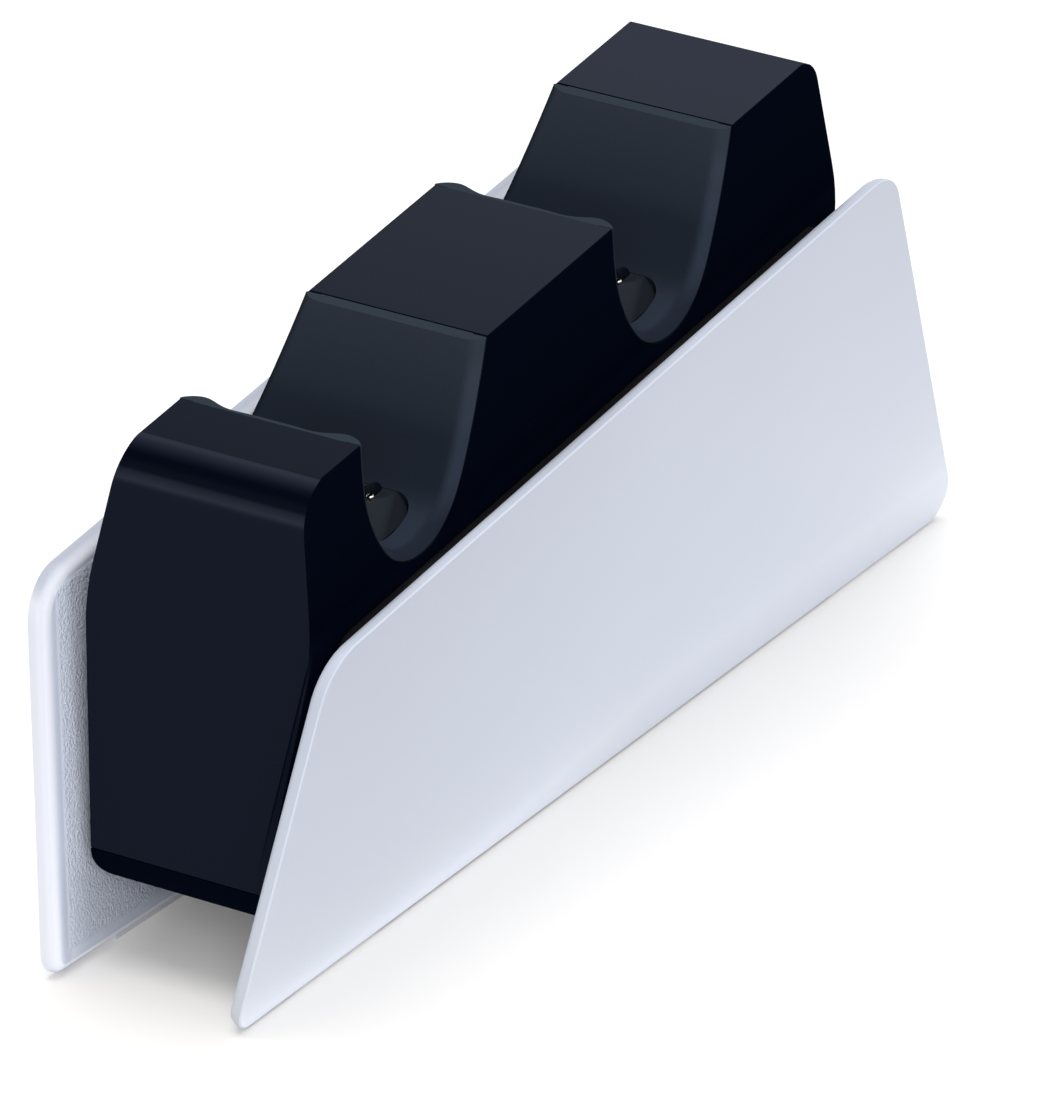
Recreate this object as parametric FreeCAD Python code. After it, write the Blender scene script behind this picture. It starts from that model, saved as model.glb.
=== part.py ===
import FreeCAD, Part
import math
import os

# Twin charging dock for two game controllers. Millimetres. +Z is up, +Y runs from the low front end
# to the high rear end, and X = 0 is the plane of symmetry between the two white side panels.
# Most of the dock follows a ramp, so it is drawn in ramp coordinates: x across, s along the ramp
# measured rearwards, and d the depth square below the block tops.

V = FreeCAD.Vector

# The ramp
SLOPE = math.radians(7.36)          # the block tops and the panels' top edges rise at this angle
TOP_HEIGHT = 72.65                  # height of the ramp's top plane above the panels' front corner
FOOT_PROUD = 0.30                   # the rubber pads stand this far below the panels

# Housing
TOP_HALF = 15.1                     # half width of the block tops
SHOULDER_HALF = 18.9                # half width at the widest line, before rounding
SHOULDER_DEPTH = 21.3               # depth of the widest line below the block tops
SHOULDER_RADIUS = 30.0
LOWER_TAPER = math.radians(7.14)    # the sides close in again below the widest line
TOP_EDGE_RADIUS = 0.4
FACE_FOOT = 6.35                    # where the front face's plane meets the floor
FACE_LEAN = math.radians(9.52)
REAR_FOOT = 159.7                   # where the rear face's plane meets the floor
REAR_LEAN = math.radians(2.4)
UNDERSIDE = 11.9                    # height of the flat underside
NOSE_RADIUS = 8.0                   # front block, top edge
TAIL_RADIUS = 3.2                   # rear block, top edge
BASE_RADIUS = 4.7                   # all round the underside
WALL = 2.0
PARTING = 17.3                      # height of the joint between housing and base tray
PARTING_GAP = 0.20                  # open joint line round the outside

# Cradles, as seen from the side: the curve starts at the top of the low front wall
CRADLE_START = (34.1, 100.8)        # s of that point for the front and the rear cradle
CRADLE_CURVE = (
    (0.0, 0.0), (-1.35, 4.5), (-2.1, 9.0), (-1.5, 14.0), (1.2, 18.7), (5.7, 20.75),
    (9.4, 20.9), (14.0, 19.5), (21.4, 13.9), (26.2, 8.7), (33.1, 0.0),
)
CRADLE_OVERRUN = 3.0                # the cut runs on above the block tops

# Cradle liners
LINER_GAP = 0.15
LINER_EDGE = 0.30                   # thickness left at the side faces
LINER_BACK = 1.55                   # how far the backrest stands in from the curve
LINER_FRONT = 0.50                  # the same in the middle of the front wall
LINER_RIM = 1.70                    # the same at the front wall's two rims
LINER_THICKNESS = 1.70
RIM_ROUND = 3.2                     # width of the rounding at each side
RIM_FOOT = 7.5                      # and it has run out into the middle here
DISH_END = 20.0                     # distance along the curve where the dished front wall ends
DISH_START = 9.0

# Contact pods
POD_HALF = 13.0
POD_FRONT = 4.0                     # from the start of the cradle curve
POD_REAR = 15.2
POD_RADIUS = 3.2
POD_TOP_RADIUS = 3.6
POD_EDGE = 1.1
POD_TOP = 17.1                      # depth of its flat top
POD_TOP_FRONT = 11.8
POD_TOP_HALF = 9.9
POD_FOOT = 19.4                     # depth where its sloping front and sides end
POD_GAP = 0.25
POD_FLANGE_TOP = 24.0
POD_FLANGE = 1.4
POD_FLANGE_FRONT = -1.6
POD_FLANGE_REAR = 21.8
POD_FLANGE_HALF = 13.6
FLANGE_RADIUS = 1.5

# Charging contacts
CONTACT_X = 6.35
CONTACT_S = 13.7
SLOT_WIDTH = 2.8
SLOT_FLOOR = 19.2
SLOT_FRONT = 11.3
CONTACT_TIP = 17.75
CONTACT_RADIUS = 0.75
CONTACT_FORK = 0.5                  # width of the notch across the tip
CONTACT_FORK_DEPTH = 0.9
SLEEVE_TOP = 20.2
SLEEVE_CAP = 0.6
SLEEVE_END = 0.3
SLEEVE_WALL = 0.45
COLLAR_RADIUS = 1.05
COLLAR_TOP = SLEEVE_TOP + SLEEVE_CAP + 0.02
COLLAR_LENGTH = 0.9
CONTACT_RUN = 0.05                  # running clearance on the radius
SPRING_WIRE = 0.14
SPRING_TURNS = 4

# Terminal boards under the pods
BOARD = 1.0
BOARD_INSET = 0.8
POST_RADIUS = 2.3
POST_X = 9.5
POST_S = (0.9, 19.3)

# Small screws
SCREW_RADIUS = 0.95
PILOT_GAP = 0.05
HEAD_RADIUS = 1.75
HEAD_HEIGHT = 1.2
POST_SCREW_LENGTH = 5.0

# Side panels
PANEL = 2.6
PANEL_TOP_DEPTH = 18.48             # their top edge below the block tops
PANEL_FRONT_FOOT = -1.0             # where the front edge's line meets the floor
PANEL_REAR_FOOT = 205.0
PANEL_FRONT_LEAN = math.radians(11.48)
PANEL_REAR_LEAN = math.radians(29.8)
PANEL_CORNERS = (2.7, 9.0, 9.0, 4.6)   # outline radii: front foot, front top, rear top, rear foot
PANEL_INNER_ROUND = 2.15
PANEL_OUTER_ROUND = 0.33

# Spacer plates between the housing and the panels
SPACER_DEPTH = 22.7
SPACER_FOOT_RISE = 1.26             # its lower edge starts this far above the housing's underside
SPACER_FOOT = 1.844                 # thickness at the lower edge
SPACER_WEDGE = math.radians(2.62)   # it thickens upwards, which sets the panels' tilt
PANEL_TILT = LOWER_TAPER + SPACER_WEDGE
SPACER_SETBACK = 6.5                # behind the housing's front face and ahead of its rear face
SPACER_CORNERS = (2.0, 5.0, 2.0, 2.0)
FIT_GAP = 0.04

# Panel screws, given in ramp coordinates
PANEL_SCREWS = ((26.0, 34.0), (84.0, 36.0), (142.0, 34.0))
BOSS_RADIUS = 2.6
BOSS_GAP = 0.3
PANEL_SCREW_BITE = 1.4              # how far the screws reach into the panel itself

# Foot pads under the panels
PAD_LENGTH = 22.0
PAD_WIDTH = 1.0
PAD_DEPTH = 1.2
PAD_INSET = 0.45                    # from the panel's outer face
PAD_ROUND = 0.4
PAD_PLACES = (26.0, 178.0)

# Base tray and its screws
TRAY_FLOOR = 2.0
COLUMN_RADIUS = 2.6
COLUMN_PLACES = ((7.0, 25.0), (7.0, 84.0), (7.6, 148.0))
COLUMN_ROOF = 31.0                  # top of the columns inside the housing
RIB = 1.8
BASE_SCREW_LENGTH = 9.0
LIP = 1.0
LIP_HEIGHT = 1.6

# Main board, inlet and ballast
MAIN_BOARD_Y = (93.0, 142.5)
MAIN_BOARD_TONGUE = (4.4, 154.0)    # half width and far end of the tongue under the inlet
MAIN_BOARD_HALF = 9.0
MAIN_BOARD = 1.6
MAIN_BOARD_LIFT = 3.0
INLET_SIZE = (9.0, 14.5, 10.6)      # width, length, height
INLET_BORE = 2.8
INLET_BORE_LENGTH = 9.5
INLET_PIN = 0.9
INLET_FRONT_GAP = 0.3
INLET_WINDOW_RADIUS = 4.0
BALLAST_Y = (32.0, 77.0)
BALLAST_HALF = 8.2
BALLAST_HEIGHT = 24.0
BALLAST_RADIUS = 2.0

FAR = 60.0                          # half length of a cutter that has to clear everything

# Everything is drawn from the panels' front corner, then moved so that the origin is under the middle.
RAMP_ACROSS = V(1, 0, 0)
RAMP_ALONG = V(0, math.cos(SLOPE), math.sin(SLOPE))
RAMP_UP = V(0, -math.sin(SLOPE), math.cos(SLOPE))
RAMP_ORIGIN = V(0, 0, TOP_HEIGHT)


def ramp(x, s, d):
    """A point given in ramp coordinates."""
    return RAMP_ORIGIN + RAMP_ACROSS * x + RAMP_ALONG * s - RAMP_UP * d


def ramp_depth(point):
    """Depth of a point below the plane of the block tops."""
    return -(point - RAMP_ORIGIN).dot(RAMP_UP)


def rounded_wire(points, radii):
    """A closed outline with a tangent arc of the given radius at each corner."""
    count = len(points)
    arcs = []
    for i in range(count):
        corner = points[i]
        radius = radii[i]
        if radius <= 0:
            arcs.append((corner, corner, None))
            continue
        back = (points[i - 1] - corner).normalize()
        ahead = (points[(i + 1) % count] - corner).normalize()
        half = back.getAngle(ahead) / 2
        reach = radius / math.tan(half)
        middle = (back + ahead).normalize() * (radius / math.sin(half) - radius)
        arcs.append((corner + back * reach, corner + ahead * reach, corner + middle))
    edges = []
    for i in range(count):
        start, stop, middle = arcs[i]
        if middle is not None:
            edges.append(Part.Arc(start, middle, stop).toShape())
        edges.append(Part.LineSegment(stop, arcs[(i + 1) % count][0]).toShape())
    return Part.Wire(edges)


def prism(wire, vector):
    return Part.Face(wire).extrude(vector)


def meet(point_a, lean_a, point_b, lean_b):
    """Where two lines of the side view cross, each given by a point and a direction."""
    ax, ay = lean_a
    bx, by = lean_b
    det = bx * ay - ax * by
    t = (bx * (point_b[1] - point_a[1]) - by * (point_b[0] - point_a[0])) / det
    return point_a[0] + ax * t, point_a[1] + ay * t


def inset_corners(corners, insets):
    """Move each side of an (x, d) outline inwards: side i runs from corner i to corner i + 1."""
    count = len(corners)
    sides = []
    for i in range(count):
        (ax, ay), (bx, by) = corners[i], corners[(i + 1) % count]
        length = math.hypot(bx - ax, by - ay)
        dx, dy = (bx - ax) / length, (by - ay) / length
        sides.append(((ax - dy * insets[i], ay + dx * insets[i]), (dx, dy)))
    return [meet(sides[i - 1][0], sides[i - 1][1], sides[i][0], sides[i][1]) for i in range(count)]


def side_outline(corners, radii):
    """An outline in the side view, given as (y, z) corners."""
    return rounded_wire([V(-FAR, y, z) for y, z in corners], radii)


def section_outline(corners, radii, s):
    """An outline across the ramp, given as (x, d) corners."""
    return rounded_wire([ramp(x, s, d) for x, d in corners], radii)


def plan_wire(half, front, rear, radius, d):
    """A rounded outline square to the ramp, from -half to half across and from front to rear along it."""
    corners = [ramp(-half, front, d), ramp(half, front, d), ramp(half, rear, d), ramp(-half, rear, d)]
    return rounded_wire(corners, (radius,) * 4)


def block(x0, x1, y0, y1, z0, z1):
    return Part.makeBox(x1 - x0, y1 - y0, z1 - z0, V(x0, y0, z0))


def ramp_block(x0, x1, s0, s1, d0, d1):
    corners = [ramp(x0, s0, d0), ramp(x0, s1, d0), ramp(x0, s1, d1), ramp(x0, s0, d1)]
    return prism(Part.makePolygon(corners + corners[:1]), RAMP_ACROSS * (x1 - x0))


def ramp_cylinder(radius, x, s, d0, d1):
    """A cylinder square to the ramp, from depth d0 down to depth d1."""
    return Part.makeCylinder(radius, d1 - d0, ramp(x, s, d1), RAMP_UP)


def mirror(shape):
    return shape.mirror(V(0, 0, 0), V(1, 0, 0))


def both(shape):
    return [shape, mirror(shape)]


def join(shapes):
    result = shapes[0].fuse(list(shapes[1:])) if len(shapes) > 1 else shapes[0]
    return result.removeSplitter()


def body_side(d):
    """Half width of the housing at a depth, on its flat lower side."""
    return SHOULDER_HALF - math.tan(LOWER_TAPER) * (d - SHOULDER_DEPTH)


def upper_side(d):
    return TOP_HALF + (SHOULDER_HALF - TOP_HALF) * d / SHOULDER_DEPTH


def housing_half(d):
    """Half width of the housing at a depth, with the rounded shoulder."""
    upper_angle = math.atan((SHOULDER_HALF - TOP_HALF) / SHOULDER_DEPTH)
    reach = SHOULDER_RADIUS * math.tan((upper_angle + LOWER_TAPER) / 2)
    start_d = SHOULDER_DEPTH - reach * math.cos(upper_angle)
    end_d = SHOULDER_DEPTH + reach * math.cos(LOWER_TAPER)
    if d <= start_d:
        return upper_side(d)
    if d >= end_d:
        return body_side(d)
    centre_x = upper_side(start_d) - SHOULDER_RADIUS * math.cos(upper_angle)
    centre_d = start_d + SHOULDER_RADIUS * math.sin(upper_angle)
    return centre_x + math.sqrt(SHOULDER_RADIUS ** 2 - (d - centre_d) ** 2)


def spacer_foot_depth():
    return (TOP_HEIGHT - UNDERSIDE - SPACER_FOOT_RISE) * math.cos(SLOPE)


def panel_half(d, offset=0.0):
    """Half width at a panel's outer face, or at a plane the given distance inside it."""
    foot = spacer_foot_depth()
    inner = body_side(foot) + SPACER_FOOT + math.tan(PANEL_TILT) * (foot - d)
    return inner + (PANEL - offset) / math.cos(PANEL_TILT)


def front_plane(setback=0.0):
    return (FACE_FOOT + setback / math.cos(FACE_LEAN), 0.0), (math.sin(FACE_LEAN), math.cos(FACE_LEAN))


def rear_plane(setback=0.0):
    return (REAR_FOOT - setback / math.cos(REAR_LEAN), 0.0), (-math.sin(REAR_LEAN), math.cos(REAR_LEAN))


def ramp_line(depth):
    return (0.0, TOP_HEIGHT - depth / math.cos(SLOPE)), (math.cos(SLOPE), math.sin(SLOPE))


def flat_line(height):
    return (0.0, height), (1.0, 0.0)


def quad(front, top, rear, bottom):
    """Corners of a side outline from four lines: front foot, front top, rear top, rear foot."""
    return [meet(*bottom, *front), meet(*front, *top), meet(*top, *rear), meet(*rear, *bottom)]


# Housing

def housing_body(inset):
    """The solid outer form of housing and tray, or the same form with every face moved inwards."""
    side = quad(front_plane(inset), ramp_line(inset), rear_plane(inset), flat_line(UNDERSIDE + inset))
    long_form = prism(side_outline(side, (0, NOSE_RADIUS - inset, TAIL_RADIUS - inset, 0)), V(2 * FAR, 0, 0))
    deepest = SHOULDER_DEPTH + 75.0
    corners = [(-TOP_HALF, 0), (TOP_HALF, 0), (SHOULDER_HALF, SHOULDER_DEPTH), (body_side(deepest), deepest),
               (-body_side(deepest), deepest), (-SHOULDER_HALF, SHOULDER_DEPTH)]
    corners = inset_corners(corners, (inset,) * 3 + (0,) + (inset,) * 2)
    edge = max(TOP_EDGE_RADIUS - inset, 0)
    shoulder = SHOULDER_RADIUS - inset
    cross_form = prism(section_outline(corners, (edge, edge, shoulder, 0, 0, shoulder), -30.0), RAMP_ALONG * 240.0)
    form = long_form.common(cross_form)
    rim = [edge for edge in form.Edges
           if all(abs(vertex.Z - UNDERSIDE - inset) < 1e-4 for vertex in edge.Vertexes)]
    return form.makeFillet(BASE_RADIUS - inset, rim)


def cradle_edges(start, offset=0.0):
    """The cradle's curve in the side view, moved into the cradle by the offset, and its two ends."""
    curve = Part.BSplineCurve()
    first, last = CRADLE_CURVE[0], CRADLE_CURVE[-1]
    lead = [(first[0] + 0.28 * CRADLE_OVERRUN, first[1] - CRADLE_OVERRUN)]
    tail = [(last[0] + 0.70 * CRADLE_OVERRUN, last[1] - CRADLE_OVERRUN)]
    curve.interpolate([ramp(-FAR, start + u, d) for u, d in lead + list(CRADLE_CURVE) + tail])
    if offset == 0:
        return curve.toShape()
    return Part.Wire(curve.toShape()).makeOffset2D(offset, 0, False, True)


def cradle_cut(start, offset=0.0):
    """Everything above the cradle's curve, right across the dock."""
    path = cradle_edges(start, offset)
    vertices = Part.Wire(path.Edges).OrderedVertexes
    a, b = vertices[0].Point, vertices[-1].Point
    lid = Part.LineSegment(b, a).toShape()
    return prism(Part.Wire(list(path.Edges) + [lid]), V(2 * FAR, 0, 0))


def below(height):
    return block(-FAR, FAR, -30, 260, -30, height)


def above(height):
    return block(-FAR, FAR, -30, 260, height, 160)


def column(x, y):
    """A screw column under the housing, tied to the side wall by a rib."""
    post = Part.makeCylinder(COLUMN_RADIUS, COLUMN_ROOF - PARTING, V(x, y, PARTING))
    rib = block(x, x + 20.0, y - RIB / 2, y + RIB / 2, PARTING + LIP_HEIGHT + 0.3, COLUMN_ROOF)
    return join([post, rib])


def panel_boss_axis(s, d, side):
    """Centre of a panel screw on the housing's inner wall and the direction outwards."""
    half = body_side(d) - WALL / math.cos(LOWER_TAPER)
    return ramp(side * half, s, d), V(side, 0, 0)


def screw_hole(point, direction, radius, before, after):
    return Part.makeCylinder(radius, before + after, point - direction * before, direction)


def inlet_centre():
    z = tray_floor_top() + MAIN_BOARD_LIFT + MAIN_BOARD + INLET_SIZE[2] / 2
    (foot, _), (lean_y, lean_z) = rear_plane()
    return V(0, foot + lean_y / lean_z * z, z)


def tray_floor_top():
    return UNDERSIDE + TRAY_FLOOR


def build_housing(outer, cavity):
    shell = outer.cut(cavity).common(above(PARTING))
    for start in CRADLE_START:
        shell = shell.cut(cradle_cut(start))
    columns = []
    for x, y in COLUMN_PLACES:
        columns += both(column(x, y).common(housing_body(0.5)))
    shell = join([shell] + columns)
    for x, y in COLUMN_PLACES:
        hole = Part.makeCylinder(SCREW_RADIUS + PILOT_GAP, BASE_SCREW_LENGTH, V(x, y, PARTING))
        for cutter in both(hole):
            shell = shell.cut(cutter)
    for s, d in PANEL_SCREWS:
        for side in (1, -1):
            point, direction = panel_boss_axis(s, d, side)
            shell = shell.cut(screw_hole(point, direction, SCREW_RADIUS + PILOT_GAP, 1.0, 4.0))
            shell = shell.cut(screw_hole(point, direction, HEAD_RADIUS + 0.3, 2.0, 0.35))
    centre = inlet_centre()
    window = Part.makeCylinder(INLET_WINDOW_RADIUS, 12.0, centre - V(0, 6.0, 0), V(0, 1, 0))
    return shell.cut(window)


def build_tray(outer, cavity):
    tray = outer.cut(cavity).common(below(PARTING - PARTING_GAP))
    lip_outer = housing_body(WALL + FIT_GAP).common(below(PARTING + LIP_HEIGHT)).common(above(PARTING - 2.0))
    lip = lip_outer.cut(housing_body(WALL + FIT_GAP + LIP))
    clear = [both(Part.makeCylinder(COLUMN_RADIUS + 0.2, 10.0, V(x, y, PARTING - PARTING_GAP)))
             for x, y in COLUMN_PLACES]
    for pair in clear:
        for cutter in pair:
            lip = lip.cut(cutter)
    posts = []
    for x, y in COLUMN_PLACES:
        post = Part.makeCylinder(COLUMN_RADIUS, PARTING - FIT_GAP - UNDERSIDE, V(x, y, UNDERSIDE))
        posts += both(post.common(outer))
    y0, y1 = MAIN_BOARD_Y
    for y in (y0 + 4.0, y1 - 4.0):
        stand = block(-4.0, 4.0, y - 2.0, y + 2.0, UNDERSIDE + 1.0, tray_floor_top() + MAIN_BOARD_LIFT)
        posts.append(stand)
    tray = join([tray, lip] + posts)
    for x, y in COLUMN_PLACES:
        hole = Part.makeCylinder(SCREW_RADIUS + PILOT_GAP, 30.0, V(x, y, UNDERSIDE - 1.0))
        seat = Part.makeCylinder(HEAD_RADIUS + 0.15, HEAD_HEIGHT + 1.2, V(x, y, UNDERSIDE - 1.0))
        for cutter in both(hole) + both(seat):
            tray = tray.cut(cutter)
    window = Part.makeCylinder(INLET_WINDOW_RADIUS, 12.0, inlet_centre() - V(0, 6.0, 0), V(0, 1, 0))
    return tray.cut(window)


# Screws

def screw(seat, direction, length):
    """A pan head screw. The seat is the underside of its head, and the shank runs along the direction."""
    shank = Part.makeCylinder(SCREW_RADIUS, length, seat, direction)
    head = Part.makeCylinder(HEAD_RADIUS, HEAD_HEIGHT, seat - direction * HEAD_HEIGHT, direction)
    return join([shank, head])


def build_base_screws():
    screws = []
    for x, y in COLUMN_PLACES:
        for side in (1, -1):
            seat = V(side * x, y, UNDERSIDE + HEAD_HEIGHT + 0.2)
            screws.append(screw(seat, V(0, 0, 1), BASE_SCREW_LENGTH))
    return Part.makeCompound(screws)


def build_panel_screws():
    screws = []
    for s, d in PANEL_SCREWS:
        for side in (1, -1):
            point, direction = panel_boss_axis(s, d, side)
            outside = panel_half(d, PANEL)
            seat = point + direction * 0.35
            length = outside + PANEL_SCREW_BITE - abs(seat.x)
            screws.append(screw(seat, direction, length))
    return Part.makeCompound(screws)


def build_post_screws(start):
    seat_depth = POD_FLANGE_TOP + POD_FLANGE + BOARD
    screws = []
    for s in POST_S:
        for x in (-POST_X, POST_X):
            screws.append(screw(ramp(x, start + s, seat_depth), RAMP_UP, POST_SCREW_LENGTH))
    return Part.makeCompound(screws)


# Cradle liners

def rim_profile(half, front_share):
    """Heights of the liner's face above the cradle's curve, across one half from the middle outwards."""
    middle = LINER_FRONT * front_share + LINER_BACK * (1 - front_share)
    crest = LINER_RIM * front_share + LINER_BACK * (1 - front_share)
    fall = crest - LINER_EDGE
    radius = (RIM_ROUND ** 2 + fall ** 2) / (2 * fall)
    points = [(0.0, middle), (0.5 * (half - RIM_FOOT), middle), (half - RIM_FOOT, middle)]
    between = 0.5 * (middle + crest)
    points.append((half - 0.5 * (RIM_FOOT + RIM_ROUND), between))
    for share in (0.0, 0.35, 0.65, 0.85, 1.0):
        run = RIM_ROUND * share
        points.append((half - RIM_ROUND + run, crest - radius + math.sqrt(radius ** 2 - run ** 2)))
    return points, middle


def liner_section(edge, length, start):
    """One cross section of the liner, square to the cradle's curve."""
    parameter = edge.getParameterByLength(length)
    point = edge.valueAt(parameter)
    tangent = edge.tangentAt(parameter)
    normal = tangent.cross(V(1, 0, 0)).normalize()
    if normal.dot(ramp(0, start + 14.0, -4.0) - V(0, point.y, point.z)) < 0:
        normal = normal * -1
    depth = ramp_depth(point)
    half = housing_half(max(depth, 0.0)) if depth > 0 else upper_side(depth)
    share = min(max((DISH_END - length + CRADLE_OVERRUN) / (DISH_END - DISH_START), 0.0), 1.0)
    front_share = share * share * (3 - 2 * share)
    profile, middle = rim_profile(half, front_share)
    centre = V(0, point.y, point.z)
    right = [centre + V(x, 0, 0) + normal * lift for x, lift in profile]
    left = [V(-p.x, p.y, p.z) for p in reversed(right[1:])]
    face = Part.BSplineCurve()
    face.interpolate(left + right)
    inner = half - WALL - 0.25
    back = min(middle - LINER_THICKNESS, -0.15)
    under = [(half, LINER_GAP), (inner, LINER_GAP), (inner - 0.2, back),
             (-inner + 0.2, back), (-inner, LINER_GAP), (-half, LINER_GAP)]
    corners = [centre + V(x, 0, 0) + normal * lift for x, lift in under]
    points = [right[-1]] + corners + [left[0]]
    edges = [face.toShape()]
    edges += [Part.LineSegment(a, b).toShape() for a, b in zip(points[:-1], points[1:])]
    return Part.Wire(edges)


def build_liner(start):
    edge = cradle_edges(start)
    total = edge.Length
    stations = 22
    wires = [liner_section(edge, 0.3 + (total - 0.6) * i / (stations - 1), start) for i in range(stations)]
    liner = Part.makeLoft(wires, True, False)
    liner = liner.cut(ramp_block(-FAR, FAR, start - 20, start + 60, -20, 0.0))
    # The block tops' walls stay clear of the liner's thicker middle.
    slab = ramp_block(-FAR, FAR, start - 20, start + 60, -20, WALL + 0.15)
    liner = liner.cut(slab.cut(cradle_cut(start, 0.0)))
    posts = []
    for s in POST_S:
        post = ramp_cylinder(POST_RADIUS, POST_X, start + s, 8.0, POD_FLANGE_TOP)
        posts += both(post.cut(cradle_cut(start)))
    liner = join([liner] + posts)
    liner = liner.cut(pod_outline(start, POD_GAP, 5.0, 30.0))
    for x, s in [(x, s) for x in (-POST_X, POST_X) for s in POST_S]:
        hole = ramp_cylinder(SCREW_RADIUS + PILOT_GAP, x, start + s, POD_FLANGE_TOP - 3.4, POD_FLANGE_TOP + 1)
        liner = liner.cut(hole)
    for cutter in contact_slots(start):
        liner = liner.cut(cutter)
    return liner


# Contact pods

def pod_outline(start, grow, d0, d1):
    """The pod's rounded plan outline as an upright block, from depth d0 to depth d1."""
    plan = plan_wire(POD_HALF + grow, start + POD_FRONT - grow, start + POD_REAR + grow * 0.2, POD_RADIUS, d1)
    return prism(plan, RAMP_UP * (d1 - d0))


def contact_slots(start):
    """The narrow slots in which the contacts stand, rounded at their rear ends."""
    half = SLOT_WIDTH / 2
    shapes = []
    for x in (-CONTACT_X, CONTACT_X):
        rear = start + POD_REAR - 0.9
        body = ramp_block(x - half, x + half, start + SLOT_FRONT, rear, 5.0, SLOT_FLOOR)
        end = ramp_cylinder(half, x, rear, 5.0, SLOT_FLOOR)
        shapes.append(join([body, end]))
    return shapes


def build_pod(start):
    beyond = start + POD_REAR + 2 * POD_TOP_RADIUS
    foot = plan_wire(POD_HALF, start + POD_FRONT, beyond, POD_RADIUS, POD_FOOT)
    top = plan_wire(POD_TOP_HALF, start + POD_TOP_FRONT, beyond, POD_TOP_RADIUS, POD_TOP)
    crown = Part.makeLoft([foot, top], True, True)
    rim = [edge for edge in crown.Edges
           if all(abs(ramp_depth(vertex.Point) - POD_TOP) < 1e-4 for vertex in edge.Vertexes)]
    crown = crown.makeFillet(POD_EDGE, rim).common(pod_outline(start, 0, POD_TOP - 1.0, POD_FOOT))
    nose = join([crown, pod_outline(start, 0, POD_FOOT, POD_FLANGE_TOP + 0.1)])
    plan = plan_wire(POD_FLANGE_HALF, start + POD_FLANGE_FRONT, start + POD_FLANGE_REAR, FLANGE_RADIUS,
                     POD_FLANGE_TOP + POD_FLANGE)
    flange = prism(plan, RAMP_UP * POD_FLANGE)
    pod = join([nose, flange])
    for cutter in contact_slots(start):
        pod = pod.cut(cutter)
    bottom = POD_FLANGE_TOP + POD_FLANGE
    sleeve = COLLAR_RADIUS + CONTACT_RUN + SLEEVE_WALL + FIT_GAP
    for x in (-CONTACT_X, CONTACT_X):
        pod = pod.cut(ramp_cylinder(CONTACT_RADIUS + 0.1, x, start + CONTACT_S, 15.0, 30.0))
        pod = pod.cut(ramp_cylinder(sleeve, x, start + CONTACT_S, SLEEVE_TOP - FIT_GAP, bottom + 1))
    for x, s in [(x, s) for x in (-POST_X, POST_X) for s in POST_S]:
        pod = pod.cut(ramp_cylinder(SCREW_RADIUS + 0.1, x, start + s, 20.0, 30.0))
    return pod


def build_sleeves(start):
    bottom = POD_FLANGE_TOP + POD_FLANGE
    bore = COLLAR_RADIUS + CONTACT_RUN
    sleeves = []
    for x in (-CONTACT_X, CONTACT_X):
        body = ramp_cylinder(bore + SLEEVE_WALL, x, start + CONTACT_S, SLEEVE_TOP, bottom)
        body = body.cut(ramp_cylinder(bore, x, start + CONTACT_S, SLEEVE_TOP + SLEEVE_CAP, bottom - SLEEVE_END))
        body = body.cut(ramp_cylinder(CONTACT_RADIUS + CONTACT_RUN, x, start + CONTACT_S, 15.0, SLEEVE_TOP + 1))
        sleeves.append(body)
    return Part.makeCompound(sleeves)


def build_contact(start, x):
    s = start + CONTACT_S
    collar_end = COLLAR_TOP + COLLAR_LENGTH
    stem = ramp_cylinder(CONTACT_RADIUS, x, s, CONTACT_TIP, COLLAR_TOP + 0.2)
    top_edge = [edge for edge in stem.Edges if abs((edge.CenterOfMass - ramp(x, s, CONTACT_TIP)).Length) < 0.01]
    stem = stem.makeFillet(0.35, top_edge)
    notch = ramp_block(x - CONTACT_FORK / 2, x + CONTACT_FORK / 2, s - 2, s + 2, CONTACT_TIP - 1,
                       CONTACT_TIP + CONTACT_FORK_DEPTH)
    collar = ramp_cylinder(COLLAR_RADIUS, x, s, COLLAR_TOP, collar_end)
    return join([stem.cut(notch), collar])


def build_spring(start, x):
    """A coil between the contact's collar and the sleeve's closed end."""
    top = COLLAR_TOP + COLLAR_LENGTH + 0.05 + SPRING_WIRE
    bottom = POD_FLANGE_TOP + POD_FLANGE - SLEEVE_END - 0.05 - SPRING_WIRE
    radius = COLLAR_RADIUS - SPRING_WIRE - 0.1
    pitch = (bottom - top) / SPRING_TURNS
    helix = Part.makeHelix(pitch, bottom - top, radius)
    wire = Part.Wire([Part.Circle(V(radius, 0, 0), V(0, 1, 0), SPRING_WIRE).toShape()])
    coil = Part.Wire(helix.Edges).makePipeShell([wire], True, True)
    placement = FreeCAD.Placement(ramp(x, start + CONTACT_S, bottom), FreeCAD.Rotation(V(0, 0, 1), RAMP_UP))
    coil.Placement = placement
    return coil


def build_terminal_board(start):
    inset = BOARD_INSET
    d0 = POD_FLANGE_TOP + POD_FLANGE
    plan = plan_wire(POD_FLANGE_HALF - inset, start + POD_FLANGE_FRONT + inset,
                     start + POD_FLANGE_REAR - inset, FLANGE_RADIUS, d0 + BOARD)
    board = prism(plan, RAMP_UP * BOARD)
    for x, s in [(x, s) for x in (-POST_X, POST_X) for s in POST_S]:
        board = board.cut(ramp_cylinder(SCREW_RADIUS + 0.1, x, start + s, 20.0, 32.0))
    plug = ramp_block(-4.0, 4.0, start + 7.5, start + 11.5, d0 + BOARD, d0 + BOARD + 3.0)
    return join([board, plug])


# Panels, spacers and pads

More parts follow.
